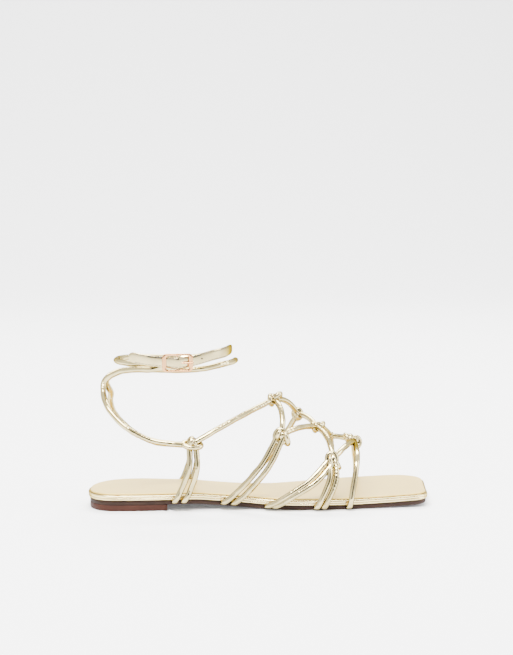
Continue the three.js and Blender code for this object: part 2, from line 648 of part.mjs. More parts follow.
// The prong curls round the centre bar, passes through the strap and rests over the front bar.
// Its slot in a strap is the same shape, wider and longer
const PRONG_STEPS = 13;
const CURL_START = -60;
const SLOT_START = -30;
const CURL_TURNS = [-90, -135, -180, -225, -270];
const NEAR_RISE = { share: 0.3, lift: 0.9 };
const FAR_RISE = { share: 0.65, drop: 0.3 };
const slotSolid = () => prongSolid(PRONG_RADIUS + 1.5 * CLEAR, SLOT_START);
function prongSolid(radius, start = CURL_START) {
  const eye = BAR_RADIUS + CLEAR + PRONG_RADIUS;
  const restOut = FRAME_OUT + FRAME_THICK / 2 + CLEAR + PRONG_RADIUS;
  const curl = [start, ...CURL_TURNS].map((angle) => {
    const turn = THREE.MathUtils.degToRad(angle);
    return atBuckle(Math.cos(turn) * eye, BAR_OUT + Math.sin(turn) * eye, 0);
  });
  const tip = FRAME_LONG / 2 - FRAME_BAR / 2;
  const reach = [
    atBuckle(tip * NEAR_RISE.share, BAR_OUT + eye + NEAR_RISE.lift, 0),
    atBuckle(tip * FAR_RISE.share, restOut - FAR_RISE.drop, 0),
    atBuckle(tip + FRAME_BAR / 2, restOut, 0),
  ];
  return cord(new THREE.CatmullRomCurve3([...curl, ...reach]), radius, PRONG_STEPS);
}

// Finished sub-parts
function geometryOf(solid) {
  const mesh = solid.getMesh();
  const geometry = new THREE.BufferGeometry();
  geometry.setAttribute('position', new THREE.BufferAttribute(mesh.vertProperties, mesh.numProp));
  geometry.setIndex(new THREE.BufferAttribute(mesh.triVerts, 1));
  geometry.computeVertexNormals();
  return geometry;
}

const sandal = new THREE.Group();
function add(name, solid, color, roughness, metalness) {
  const material = new THREE.MeshStandardMaterial({ color, roughness, metalness });
  const piece = new THREE.Mesh(geometryOf(solid), material);
  piece.name = name;
  sandal.add(piece);
}

add('outsole', outsole(), 0x74594c, 0.6, 0);
add('heel_block', heelBlock(), 0x7a584c, 0.6, 0);
add('footbed', footbed(), 0xe3d5b4, 0.25, 0.85);
add('insole_sock', insoleSock(), 0xe9dfcb, 0.5, 0.3);
add('strap_cage', strapCage(), 0xdccfae, 0.25, 0.9);
add('ankle_strap_long', longStrap(), 0xdccfae, 0.25, 0.9);
add('ankle_strap_short', shortStrap(), 0xdccfae, 0.25, 0.9);
add('buckle_frame', buckleFrame(), 0xd9a583, 0.2, 1);
add('buckle_prong', prongSolid(PRONG_RADIUS), 0xd9a583, 0.2, 1);

export default sandal;
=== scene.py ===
import math
import random

import bpy
import numpy as np
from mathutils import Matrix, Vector


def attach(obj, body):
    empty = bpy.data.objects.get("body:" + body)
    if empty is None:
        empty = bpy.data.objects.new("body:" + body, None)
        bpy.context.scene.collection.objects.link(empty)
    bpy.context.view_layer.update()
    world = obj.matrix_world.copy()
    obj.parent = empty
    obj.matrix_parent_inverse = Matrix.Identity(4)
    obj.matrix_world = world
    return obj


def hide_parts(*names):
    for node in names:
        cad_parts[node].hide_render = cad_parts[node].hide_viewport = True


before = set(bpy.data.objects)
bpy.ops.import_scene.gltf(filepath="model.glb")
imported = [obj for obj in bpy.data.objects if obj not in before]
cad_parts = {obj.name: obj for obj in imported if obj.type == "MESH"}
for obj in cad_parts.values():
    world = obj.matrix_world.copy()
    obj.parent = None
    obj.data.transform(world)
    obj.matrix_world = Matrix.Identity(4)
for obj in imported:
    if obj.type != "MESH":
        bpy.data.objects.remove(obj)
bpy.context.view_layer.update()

MM = 0.001

# Sole sizes
LENGTH = 0.250
BALL_HALF = 0.040
HEEL_LENGTH = 0.057
HEEL_LIFT = 0.0044
TOE_SPRING = 0.0026
OUTSOLE = 0.0036
RIM = 0.0048
SOCK = 0.001
OUTSOLE_INSET = 0.0011
SOCK_INSET = 0.0016
EDGE_ROUND = 0.0009
CLEAR = 0.0003

# Upper sizes
CORD = 0.0021
KNOT_CORD = 0.00185
INSTEP = 0.075
ANKLE_HALF = 0.030
BUCKLE_UP = 0.1068
TAIL_THICK = 0.0014
TAIL_WIDE = 0.0054
TAIL_REACH = 0.008
STRAP_THICK = 0.0014
STRAP_WIDE = 0.0076

# Buckle sizes
FRAME_LONG = 0.0217
FRAME_TALL = 0.013
FRAME_THICK = 0.0018
FRAME_BAR = 0.003
FRAME_RAIL = 0.0016
FRAME_CORNER = 0.003
BAR_RADIUS = 0.0006
POST_RADIUS = 0.00078
PRONG_RADIUS = 0.00055
CHAPE_THICK = 0.001
CHAPE_WIDE = 0.0064
BUCKLE_ALONG = 0.256
BUCKLE_OUT = ANKLE_HALF - 0.0004
SIDE_ROOM = 0.0008


def table(columns, rows):
    return [dict(zip(columns.split(), row)) for row in rows]


# Footbed half widths, as shares of BALL_HALF, by share of LENGTH
WIDTHS = table("along lateral medial", [
    (0.09, 0.735, 0.72),
    (0.15, 0.76, 0.745),
    (0.25, 0.75, 0.635),
    (0.36, 0.715, 0.54),
    (0.44, 0.75, 0.515),
    (0.53, 0.87, 0.6),
    (0.61, 0.96, 0.72),
    (0.69, 0.975, 0.87),
    (0.78, 0.955, 1),
    (0.86, 0.93, 1.01),
    (0.94, 0.9, 0.94),
])

# Underside of the outsole: shares of HEEL_LIFT and of TOE_SPRING
PAST_HEEL = 0.016
PROFILE = table("along lift spring", [
    (0, 1, 0),
    ((HEEL_LENGTH + PAST_HEEL) / LENGTH, 1, 0),
    (0.36, 0.72, 0),
    (0.44, 0.36, 0),
    (0.5, 0.13, 0),
    (0.56, 0, 0),
    (0.72, 0, 0),
    (0.84, 0, 0.27),
    (0.93, 0, 0.66),
    (1, 0, 1),
])

# Rounded ends of each side
HEEL_POINT = -0.006
TOE_SLANT = 0.0048
END_COLUMNS = "side heel_depth heel_power toe_depth toe_from toe_power"
LATERAL, MEDIAL = table(END_COLUMNS, [
    (-1, 0.022, 2.3, 0.012, -0.024, 2),
    (1, 0.032, 2.1, 0.032, 0.014, 2.2),
])

# Knots: shares of LENGTH, BALL_HALF and INSTEP
KNOT_ROWS = table("name along across up", [
    ("rearLateral", 0.296, -0.75, 0.642),
    ("rearMedial", 0.31, 0.75, 0.5),
    ("instep", 0.544, 0, 1),
    ("midLateral", 0.551, -0.7, 0.708),
    ("midMedial", 0.622, 0.55, 0.805),
    ("centre", 0.667, 0.05, 0.72),
    ("foreLateral", 0.698, -0.8, 0.475),
    ("foreMedial", 0.725, 0.7, 0.562),
    ("front", 0.782, 0.1, 0.568),
])
KNOTS = {row["name"]: row for row in KNOT_ROWS}

# The loops of each knot: their axis, their long side, their place and half lengths in
# shares of KNOT_CORD, and how creased they are
LOOPS = table("knot axis side at long short wrinkled", [
    ("rearLateral", (0.1, -0.37, 1), (1, 0, 0), (0, 0, -0.2), 3.5, 2.3, 0.1),
    ("rearLateral", (0.9, 0.2, -0.5), (0, 0, 1), (-0.9, 0, 0.8), 1.7, 1.6, 0.8),
    ("rearMedial", (0.1, 0.37, 1), (1, 0, 0), (0, 0, -0.2), 3.4, 2.3, 0.1),
    ("rearMedial", (0.9, -0.2, -0.5), (0, 0, 1), (-0.9, 0, 0.8), 1.7, 1.6, 0.8),
    ("instep", (1, -0.3, 0.2), (0, 0, 1), (-1.4, 0, -0.3), 1.8, 1.8, 0.1),
    ("instep", (0.7, -0.5, -0.6), (0, 0, 1), (1.1, 0, 0.9), 1.7, 1.6, 0.9),
    ("midLateral", (-0.2, -1, 0.3), (0, 0, 1), (-0.2, 0, -0.3), 2.6, 2.2, 0.1),
    ("midLateral", (1, 0.3, 0.25), (0, 0, 1), (1.9, -0.4, -1.3), 2.1, 1.5, 1),
    ("midMedial", (-0.3, -1, 0.2), (0, 0, 1), (0, 0, 0), 1.9, 1.5, 0.2),
    ("midMedial", (1, 0.4, 0.3), (0, 0, 1), (-0.8, 0, -0.6), 1.6, 1.4, 0.5),
    ("centre", (1, -0.2, 0.3), (0, 0, 1), (-0.75, 0, -0.3), 1.4, 1.6, 0.1),
    ("centre", (0.8, -0.3, -0.5), (0, 0, 1), (2.1, 0, 0.1), 1.4, 1.5, 0.8),
    ("foreLateral", (-0.1, -1, 0.4), (0, 0, 1), (-0.3, 0, 0.6), 2, 1.8, 0.2),
    ("foreLateral", (1, -0.1, 0.55), (0, 0, 1), (1.6, -0.3, -1.6), 1.7, 1.5, 1),
    ("foreMedial", (0.1, 0.5, 1), (1, 0, 0), (0, 0, 0), 1.2, 1.2, 0.2),
    ("front", (0.3, -1, 0.3), (0, 0, 1), (0.9, 0, -0.4), 1.8, 1.5, 0.2),
    ("front", (1, 0.2, 0.55), (0, 0, 1), (-2.9, 0, 1.2), 1.3, 1.5, 0.8),
    ("front", (1, -0.2, 0.3), (0, 0, 1), (-1.1, 0, 0.6), 1.4, 1.5, 0.3),
])

# Small tight turns inside each knot, drawn only here
TURNS = table("knot axis side at long short wrinkled", [
    ("rearLateral", (0.9, -0.3, 0.5), (0, 0, 1), (1.2, -0.4, 0.6), 1.5, 1.3, 0.3),
    ("instep", (0.2, -1, 0.2), (0, 0, 1), (0, -0.3, 0.2), 1.4, 1.5, 0.2),
    ("midLateral", (0.9, -0.5, -0.3), (0, 0, 1), (-0.9, -0.6, 0.4), 1.6, 1.3, 0.3),
    ("centre", (0.2, -1, 0.3), (0, 0, 1), (0.7, -0.2, 0), 1.3, 1.3, 0.3),
    ("foreLateral", (0.8, -0.5, 0.4), (0, 0, 1), (-0.3, -0.6, -0.3), 1.5, 1.4, 0.3),
    ("front", (0.2, -1, 0.4), (0, 0, 1), (-1.8, -0.2, 0.8), 1.3, 1.2, 0.4),
])
TURN_CORD = 0.8 * KNOT_CORD

# Single cords from knot to knot: how far their middle strays, in shares of 4 * CORD, and creases
LINKS = table("start end toward out rise wrinkled", [
    ("rearLateral", "instep", 0, -1, 0.45, 1),
    ("rearMedial", "instep", 0, 1.25, 0, 0.4),
    ("instep", "midLateral", 0.6, -1, 0.7, 0.3),
    ("instep", "midMedial", 0.25, 0.5, 0.8, 0.5),
    ("midLateral", "centre", 0, -0.3, 0.6, 0.5),
    ("midMedial", "centre", 0.3, 0.5, 0.4, 1),
    ("centre", "foreLateral", 0.5, -0.8, 0.9, 0.8),
    ("centre", "foreMedial", 0.1, 0.3, 0.5, 0.3),
    ("foreLateral", "front", 0.3, -0.9, 0.9, 0.5),
    ("foreMedial", "front", 0.3, 0.7, 0.1, 0.4),
])

# Cords from a knot to the sole: how many, where they enter it, how far apart in shares of
# CORD, their lean over the rim, how far their middle strays in shares of CORD, and creases
LEGS = table("knot side cords along spread lean toward out rise wrinkled", [
    ("rearLateral", -1, 2, 0.258, 3.2, 0.55, 1.4, 1.2, 0, (0.05, 0.4)),
    ("midLateral", -1, 2, 0.4, 3.4, 1.1, 1, 1.6, -0.6, (0.05, 0.3)),
    ("foreLateral", -1, 2, 0.521, 2.3, 1.6, 0.5, 1.6, -0.8, (0.1, 0.3)),
    ("foreLateral", -1, 2, 0.66, 2.4, 0.5, 1, 1.4, 0, (0.1, 0.6)),
    ("front", -1, 1, 0.743, 0, 0.2, 0.6, 5, 4, (0.1,)),
    ("rearMedial", 1, 2, 0.283, 3.2, 0.5, 1, 1, 0, (0.2, 0.2)),
    ("midMedial", 1, 1, 0.462, 0, 0.6, 0.6, 2, -1.6, (0.2,)),
    ("foreMedial", 1, 1, 0.728, 0, 0.3, 0.6, 2, 0, (0.2,)),
    ("front", 1, 1, 0.81, 0, 0.1, 0.2, 5, 4, (0.2,)),
])

# Long ankle strap: shares of LENGTH, ANKLE_HALF and BUCKLE_UP, and how flat it is
STRAP_COLUMNS = "along across up flat"
LONG_STRAP = table(STRAP_COLUMNS, [
    (0.267, -1.01, 0.448, 0),
    (0.245, -1.02, 0.455, 0),
    (0.18, -0.93, 0.478, 0),
    (0.111, -0.8, 0.558, 0),
    (0.064, -0.47, 0.666, 0),
    (0.048, 0, 0.762, 0),
    (0.054, 0.27, 0.84, 0),
    (0.087, 0.53, 0.883, 0),
    (0.146, 0.8, 0.891, 0),
    (0.22, 0.97, 0.876, 0),
    (0.309, 1, 0.873, 0),
    (0.382, 0.8, 0.905, 0),
    (0.422, 0.4, 0.947, 0),
    (0.43, 0, 0.975, 0),
    (0.415, -0.35, 0.974, 0),
    (0.383, -0.62, 0.968, 0),
    (0.336, -0.77, 0.95, 0),
    (0.28, -0.8, 0.944, 0),
    (0.212, -0.79, 0.965, 0),
    (0.169, -0.73, 0.976, 0),
    (0.134, -0.62, 0.979, 0),
    (0.104, -0.42, 0.983, 0),
    (0.088, -0.1, 0.984, 0),
    (0.092, 0.24, 0.984, 0),
    (0.132, 0.63, 0.982, 0),
    (0.191, 0.87, 0.971, 0),
    (0.309, 0.96, 0.964, 0),
    (0.38, 0.73, 0.998, 0),
    (0.412, 0.27, 1.04, 0.2),
    (0.416, 0, 1.052, 0.5),
    (0.41, -0.3, 1.056, 0.9),
    (0.389, -0.67, 1.05, 1),
    (0.358, -0.89, 1.042, 1),
    (0.324, -1.005, 1.024, 1),
    (0.295, -1.023, 1.008, 1),
    (0.256, -1.023, 1, 1),
    (0.217, -1.023, 1.006, 1),
    (0.169, -1, 1.018, 1),
    (0.122, -0.84, 1.036, 1),
])

# Short ankle strap, from the medial rear knot to the buckle's centre bar
SHORT_STRAP = table(STRAP_COLUMNS, [
    (0.292, 1, 0.35, 0),
    (0.255, 1.02, 0.352, 0),
    (0.203, 1, 0.366, 0),
    (0.13, 0.83, 0.463, 0),
    (0.08, 0.55, 0.6, 0),
    (0.068, 0.27, 0.69, 0),
    (0.0695, 0, 0.765, 0),
    (0.057, -0.25, 0.855, 0),
    (0.089, -0.52, 0.92, 0),
    (0.141, -0.8, 0.948, 0),
    (0.183, -0.92, 0.952, 0.1),
    (0.208, -0.935, 0.97, 0.6),
    (0.228, -0.97, 0.996, 1),
])


# Smooth reading of one column of a table, which keeps level stretches level
def read(rows, column, along):
    last = len(rows) - 1
    if along <= rows[0]["along"]:
        return rows[0][column]
    if along >= rows[last]["along"]:
        return rows[last][column]
    row = next(k for k, entry in enumerate(rows) if entry["along"] > along) - 1

    def gap(k):
        return rows[k + 1]["along"] - rows[k]["along"]

    def rate(k):
        return (rows[k + 1][column] - rows[k][column]) / gap(k)

    def slope(k):
        if k == 0:
            return rate(0)
        if k == last:
            return rate(last - 1)
        before, after = rate(k - 1), rate(k)
        return 2 * before * after / (before + after) if before * after > 0 else 0

    t = (along - rows[row]["along"]) / gap(row)
    p, q = rows[row][column], rows[row + 1][column]
    m, n = slope(row) * gap(row), slope(row + 1) * gap(row)
    return p + t * (m + t * (3 * (q - p) - 2 * m - n + t * (2 * (p - q) + m + n)))


# Places on the sole
def place(x):
    return x - HEEL_LENGTH / 2


def underside(x):
    lift, spring = read(PROFILE, "lift", x / LENGTH), read(PROFILE, "spring", x / LENGTH)
    return HEEL_LIFT * lift + TOE_SPRING * spring


def seam(x):
    return underside(x) + OUTSOLE


def bed(x):
    return seam(x) + RIM


def edge(side, x):
    return side * BALL_HALF * read(WIDTHS, "lateral" if side < 0 else "medial", x / LENGTH)


# One side of the footbed's outline, from heel to toe
def side_outline(end, corners=22, stations=56):
    side, heel_depth, toe_depth = end["side"], end["heel_depth"], end["toe_depth"]
    toe_start = LENGTH - (TOE_SLANT if side < 0 else 0) - toe_depth
    heel_reach = abs(edge(side, heel_depth) - HEEL_POINT)
    toe_reach = abs(edge(side, toe_start) - end["toe_from"])
    points = []
    for k in range(1, corners + 1):
        turn = k / corners * math.pi / 2
        points.append((
            heel_depth - heel_depth * math.cos(turn) ** (2 / end["heel_power"]),
            HEEL_POINT + side * heel_reach * math.sin(turn) ** (2 / end["heel_power"]),
        ))
    for k in range(1, stations):
        x = heel_depth + (toe_start - heel_depth) * k / stations
        points.append((x, edge(side, x)))
    for k in range(corners, -1, -1):
        turn = k / corners * math.pi / 2
        points.append((
            toe_start + toe_depth * math.cos(turn) ** (2 / end["toe_power"]),
            end["toe_from"] + side * toe_reach * math.sin(turn) ** (2 / end["toe_power"]),
        ))
    return points


OUTLINE = [(0, HEEL_POINT), *side_outline(LATERAL), *reversed(side_outline(MEDIAL))]


# A loop of the outline moved in by an inset, at a height worked out from x
def ring(inset, height, outline=OUTLINE):
    count = len(outline)
    places = []
    for k, (x, y) in enumerate(outline):
        x0, y0 = outline[k - 1]
        x1, y1 = outline[(k + 1) % count]
        span = math.hypot(x1 - x0, y1 - y0)
        places.append((
            place(x - inset * (y1 - y0) / span),
            y + inset * (x1 - x0) / span,
            height(x),
        ))
    return np.array(places)


# How much shorter than its loop a cap's middle line is, so that no ring leaves the loop where
# the toe's front edge slants
CAP_SHORTER = 0.07


# A level cap: the loop drawn in towards the middle line of the sole in a few rings
def cap_rings(loop, height, steps=7):
    middle = (loop.max(axis=0) + loop.min(axis=0)) / 2
    rings = []
    for k in range(1, steps + 1):
        share = 1 - k / steps
        inner = loop.copy()
        inner[:, 0] += (middle[0] - loop[:, 0]) * CAP_SHORTER * (1 - share)
        inner[:, 1] = middle[1] + (loop[:, 1] - middle[1]) * share
        inner[:, 2] = [height(x + HEEL_LENGTH / 2, 1 - share) for x in inner[:, 0]]
        rings.append(inner)
    return rings


# Meshes from stacks of rings
class Shape:
    def __init__(self):
        self.vertices = []
        self.faces = []

    def add_rings(self, rings, close=True):
        rings = [np.asarray(loop) for loop in rings]
        base, count = len(self.vertices), len(rings[0])
        for loop in rings:
            self.vertices.extend(map(tuple, loop))
        for r in range(len(rings) - 1):
            for k in range(count):
                a, b = base + r * count + k, base + r * count + (k + 1) % count
                self.faces.append((a, b, b + count, a + count))
        if close:
            self.faces.append(tuple(reversed(range(base, base + count))))
            top = base + (len(rings) - 1) * count
            self.faces.append(tuple(range(top, top + count)))
        return self

    def build(self, name, material, slot, *nodes):
        mesh = bpy.data.meshes.new(name)
        mesh.from_pydata(self.vertices, [], self.faces)
        mesh.validate()
        mesh.polygons.foreach_set("use_smooth", [True] * len(mesh.polygons))
        mesh.materials.append(material)
        piece = bpy.data.objects.new(name, mesh)
        bpy.context.scene.collection.objects.link(piece)
        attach(piece, "root")
        if nodes:
            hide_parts(*nodes)
        return piece


# Evenly spaced places on the centripetal curve through points; further columns are read linearly
def route(points, step, dense=40):
    points = np.array(points, float)
    before = 2 * points[0, :3] - points[1, :3]
    after = 2 * points[-1, :3] - points[-2, :3]
    spots = np.vstack([before, points[:, :3], after])
    samples = []
    for k in range(len(points) - 1):
        p0, p1, p2, p3 = spots[k : k + 4]
        d0, d1, d2 = (math.dist(a, b) ** 0.5 for a, b in ((p0, p1), (p1, p2), (p2, p3)))
        start = ((p1 - p0) / d0 - (p2 - p0) / (d0 + d1) + (p2 - p1) / d1) * d1
        end = ((p2 - p1) / d1 - (p3 - p1) / (d1 + d2) + (p3 - p2) / d2) * d1
        for t in np.linspace(0, 1, dense, endpoint=k == len(points) - 2):
            bend = 3 * (p2 - p1) - 2 * start - end + t * (2 * (p1 - p2) + start + end)
            place_at = p1 + t * (start + t * bend)
            samples.append([*place_at, *(points[k, 3:] + t * (points[k + 1, 3:] - points[k, 3:]))])
    return evenly(np.array(samples), step)


def evenly(samples, step):
    far = np.concatenate([[0], np.cumsum(np.linalg.norm(np.diff(samples[:, :3], axis=0), axis=1))])
    count = max(4, math.ceil(far[-1] / step))
    at = np.linspace(0, far[-1], count + 1)
    return np.stack([np.interp(at, far, samples[:, c]) for c in range(samples.shape[1])], axis=1)


def lengths(places):
    return np.concatenate([[0], np.cumsum(np.linalg.norm(np.diff(places[:, :3], axis=0), axis=1))])


# Directions along a route, and the two directions of its section
def section_axes(places, wide_axis=None, closed=False):
    places = places[:, :3]
    ahead = np.gradient(places, axis=0)
    if closed:
        ahead = np.roll(places, -1, axis=0) - np.roll(places, 1, axis=0)
    ahead /= np.linalg.norm(ahead, axis=1)[:, None]
    if wide_axis is None:
        wide = [np.cross(ahead[0], (0.31, 0.22, 0.93))]
        for direction in ahead[1:]:
            wide.append(wide[-1] - direction * np.dot(wide[-1], direction))
            wide[-1] = wide[-1] / np.linalg.norm(wide[-1])
        wide = np.array(wide)
    else:
        wide = np.array(wide_axis) - ahead * (ahead @ np.array(wide_axis))[:, None]
    wide /= np.linalg.norm(wide, axis=1)[:, None]
    return wide, np.cross(ahead, wide)


# Rings of a cord or strap along a route. Power 2 is round, and more is squarer
SIDES = 24


def sweep_rings(
    places, half_wide, half_thick, power=2.0, relief=None, wide_axis=None, closed=False
):
    wide, thin = section_axes(places, wide_axis, closed)
    turn = np.arange(SIDES) / SIDES * 2 * math.pi
    ones = np.ones(len(places))
    half_wide, half_thick, power = half_wide * ones, half_thick * ones, power * ones
    shape = 2 / power[:, None]
    cos = np.sign(np.cos(turn)) * np.abs(np.cos(turn)) ** shape
    sin = np.sign(np.sin(turn)) * np.abs(np.sin(turn)) ** shape
    around = np.zeros((len(places), 1))
    if wide_axis is not None and not closed:
        plain_wide, plain_thin = section_axes(places)
        around[:, 0] = np.arctan2((wide * plain_thin).sum(axis=1), (wide * plain_wide).sum(axis=1))
    raised = np.zeros_like(cos)
    if relief:
        raised = relief(lengths(places)[:, None], turn[None, :], around)
    out_wide = cos * half_wide[:, None] + np.cos(turn) * raised
    out_thin = sin * half_thick[:, None] + np.sin(turn) * raised
    return (
        places[:, None, :3]
        + wide[:, None, :] * out_wide[:, :, None]
        + thin[:, None, :] * out_thin[:, :, None]
    )


def rounded_ends(rings, first=True, last=True, steps=4):
    rings = list(rings)

    def close(end, inner):
        centre, before = end.mean(axis=0), inner.mean(axis=0)
        out = (centre - before) / np.linalg.norm(centre - before)
        depth = np.linalg.norm(end - centre, axis=1).min()
        added = []
        for k in range(1, steps + 1):
            turn = k / steps * math.pi / 2 * 0.96
            added.append(centre + (end - centre) * math.cos(turn) + out * depth * math.sin(turn))
        return added

    if last:
        rings += close(rings[-1], rings[-2])
    if first:
        rings = close(rings[0], rings[1])[::-1] + rings
    return rings


# Surface relief of a rolled cord: a seam groove, slow swelling and cross creases
SWELL_DEPTH = 0.00003
SEAM_DEPTH = 0.00022
CREASE_DEPTH = 0.0002
CREASE_SPACING = 0.0021


# Main creases, placed as in the photograph: which cord, how far along it, depth, width, facing
CREASES = table("cord at depth width facing", [
    ("rearLateral instep", 0.018, 0.9, 0.0006, 4.0),
    ("rearLateral instep", 0.024, 0.8, 0.0005, 4.3),
    ("rearLateral instep", 0.031, 1.0, 0.0006, 4.1),
    ("rearLateral instep", 0.038, 0.8, 0.0005, 4.5),
    ("rearLateral instep", 0.045, 0.9, 0.0006, 4.2),
    ("rearLateral instep", 0.052, 0.7, 0.0005, 4.0),
    ("instep midLateral", 0.014, 0.9, 0.0006, 4.2),
    ("midLateral centre", 0.007, 1.1, 0.0006, 4.3),
    ("midLateral centre", 0.024, 0.9, 0.0005, 4.0),
    ("centre foreLateral", 0.006, 1.1, 0.0005, 4.1),
    ("centre foreLateral", 0.009, 1.0, 0.0005, 4.4),
    ("centre foreLateral", 0.012, 1.1, 0.0005, 4.1),
    ("centre foreLateral", 0.015, 1.0, 0.0005, 4.3),
    ("centre foreLateral", 0.018, 1.1, 0.0005, 4.1),
    ("foreLateral 0.66 1", 0.007, 1.0, 0.0005, 4.2),
    ("foreLateral 0.66 1", 0.0095, 1.1, 0.0005, 4.4),
    ("foreLateral 0.66 1", 0.012, 1.0, 0.0005, 4.1),
    ("foreLateral 0.66 1", 0.0145, 1.1, 0.0005, 4.3),
    ("foreLateral 0.66 1", 0.017, 1.0, 0.0005, 4.2),
    ("foreLateral 0.66 1", 0.0195, 1.1, 0.0005, 4.1),
    ("foreLateral 0.66 1", 0.022, 0.9, 0.0005, 4.2),
    ("midLateral 0.4 1", 0.016, 0.8, 0.0006, 4.2),
    ("rearLateral 0.258 1", 0.020, 0.9, 0.0006, 4.3),
    ("long", 0.027, 1.3, 0.0007, 1.6),
    ("long", 0.031, 1.2, 0.0006, 1.9),
    ("long", 0.0345, 1.3, 0.0007, 1.5),
    ("long", 0.072, 0.9, 0.0007, 4.4),
    ("long", 0.079, 0.9, 0.0006, 4.1),
    ("short", 0.060, 0.9, 0.0007, 4.2),
    ("short", 0.068, 0.9, 0.0006, 4.4),
])


def cord_relief(long, wrinkled, seed, cord="", seam_turn=2.2):
    pick = random.Random(seed)
    swell = [(pick.uniform(250, 700), pick.randint(-2, 2), pick.uniform(0, 6.3)) for _ in range(4)]
    count = int(long * wrinkled / CREASE_SPACING)
    creases = [
        (pick.uniform(0.002, long), pick.uniform(0.5, 1), pick.uniform(-0.0007, 0.0007),
         pick.uniform(0, 6.3), pick.uniform(0.00022, 0.0005))
        for _ in range(count)
    ]
    creases += [
        (row["at"], row["depth"], 0.0004, row["facing"], row["width"])
        for row in CREASES
        if row["cord"] == cord
    ]
    twist = pick.uniform(-14, 14)

    def relief(far, turn, around):
        turn = turn + around
        raised = SWELL_DEPTH * sum(
            np.sin(rate * far + waves * turn + phase) for rate, waves, phase in swell
        )
        near_seam = np.cos(turn - seam_turn - twist * far)
        raised = raised - SEAM_DEPTH * np.exp(-((1 - near_seam) / 0.02))
        for at, strength, skew, facing, width in creases:
            off = (far - at - skew * np.sin(turn + facing)) / width
            deep = CREASE_DEPTH * strength
            raised = raised - deep * np.exp(-off * off) * (0.55 + 0.45 * np.cos(turn - facing))
            raised = raised + deep * 0.35 * np.exp(-(off - 1.7) ** 2)
        return raised

    return relief


# Materials
def new_material(name):
    material = bpy.data.materials.new(name)
    material.use_nodes = True
    shader = material.node_tree.nodes["Principled BSDF"]
    return material, material.node_tree, shader


def varied_colour(tree, shader, low, high, scale, detail=4.0):
    where = tree.nodes.new("ShaderNodeTexCoord")
    cloud = tree.nodes.new("ShaderNodeTexNoise")
    cloud.inputs["Scale"].default_value = scale
    cloud.inputs["Detail"].default_value = detail
    ramp = tree.nodes.new("ShaderNodeValToRGB")
    ramp.color_ramp.elements[0].position = 0.35
    ramp.color_ramp.elements[0].color = (*low, 1)
    ramp.color_ramp.elements[1].position = 0.65
    ramp.color_ramp.elements[1].color = (*high, 1)
    tree.links.new(where.outputs["Object"], cloud.inputs["Vector"])
    tree.links.new(cloud.outputs["Fac"], ramp.inputs["Fac"])
    tree.links.new(ramp.outputs["Color"], shader.inputs["Base Color"])
    return where


def grain(tree, shader, where, scale, distance, strength):
    texture = tree.nodes.new("ShaderNodeTexNoise")
    texture.inputs["Scale"].default_value = scale
    texture.inputs["Detail"].default_value = 3.0
    bump = tree.nodes.new("ShaderNodeBump")
    bump.inputs["Strength"].default_value = strength
    bump.inputs["Distance"].default_value = distance
    tree.links.new(where.outputs["Object"], texture.inputs["Vector"])
    tree.links.new(texture.outputs["Fac"], bump.inputs["Height"])
    tree.links.new(bump.outputs["Normal"], shader.inputs["Normal"])


def surface(
    name, low, high, metallic, roughness,
    patch=60, grain_scale=900, grain_depth=0.00006, strength=0.35, edge=(1.0, 1.0, 1.0), gloss=0.5,
):
    material, tree, shader = new_material(name)
    shader.inputs["Metallic"].default_value = metallic
    shader.inputs["Roughness"].default_value = roughness
    shader.inputs["Specular Tint"].default_value = (*edge, 1)
    shader.inputs["Specular IOR Level"].default_value = gloss
    where = varied_colour(tree, shader, low, high, patch)
    grain(tree, shader, where, grain_scale, grain_depth, strength)
    return material


GOLD_EDGE = (0.26, 0.21, 0.11)
cord_gold = surface(
    "cord gold", (0.37, 0.305, 0.15), (0.57, 0.48, 0.25), 1.0, 0.11,
    grain_scale=700, strength=0.2, edge=GOLD_EDGE,
)
rim_gold = surface(
    "rim gold", (0.70, 0.565, 0.27), (0.84, 0.69, 0.345), 1.0, 0.15,
    strength=0.2, edge=GOLD_EDGE,
)
sock_gold = surface(
    "sock gold", (0.53, 0.37, 0.078), (0.57, 0.40, 0.088), 0.3, 0.36, patch=25, gloss=0.25
)
sole_brown = surface(
    "sole brown", (0.022, 0.011, 0.0075), (0.028, 0.014, 0.0095), 0.0, 0.6,
    grain_depth=0.0001, gloss=0.15,
)
heel_brown = surface(
    "heel brown", (0.034, 0.011, 0.0065), (0.040, 0.0135, 0.008), 0.0, 0.58,
    grain_depth=0.0001, gloss=0.15,
)
rose_gold = surface(
    "rose gold", (0.58, 0.30, 0.125), (0.64, 0.34, 0.15), 1.0, 0.14,
    strength=0.1, edge=(0.35, 0.18, 0.08),
)
stitch_gold = surface("stitch gold", (0.10, 0.08, 0.05), (0.14, 0.11, 0.07), 0.0, 0.6)
# near-black painted shade that stands in for the inside of the strap's hole
hole_painted_shade = surface("punched hole painted shade", (0.02, 0.015, 0.012), (0.03, 0.022, 0.018), 0.0, 0.8)


# Sole pieces
def build_outsole():
    low = underside
    shape = Shape()
    top = lambda x: seam(x) - CLEAR
    rings = [
        ring(OUTSOLE_INSET + EDGE_ROUND, low),
        ring(OUTSOLE_INSET + 0.45 * EDGE_ROUND, lambda x: low(x) + 0.12 * EDGE_ROUND),
        ring(OUTSOLE_INSET + 0.12 * EDGE_ROUND, lambda x: low(x) + 0.45 * EDGE_ROUND),
        ring(OUTSOLE_INSET, lambda x: low(x) + EDGE_ROUND),
        ring(OUTSOLE_INSET, lambda x: top(x) - EDGE_ROUND / 3),
        ring(OUTSOLE_INSET + EDGE_ROUND / 3, top),
    ]
    flat_low = cap_rings(rings[0], lambda x, share: low(x))[::-1]
    flat_top = cap_rings(rings[-1], lambda x, share: top(x))
    shape.add_rings([*flat_low, *rings, *flat_top], close=False)
    shape.build("outsole_skin", sole_brown, "brown_sole", "outsole")


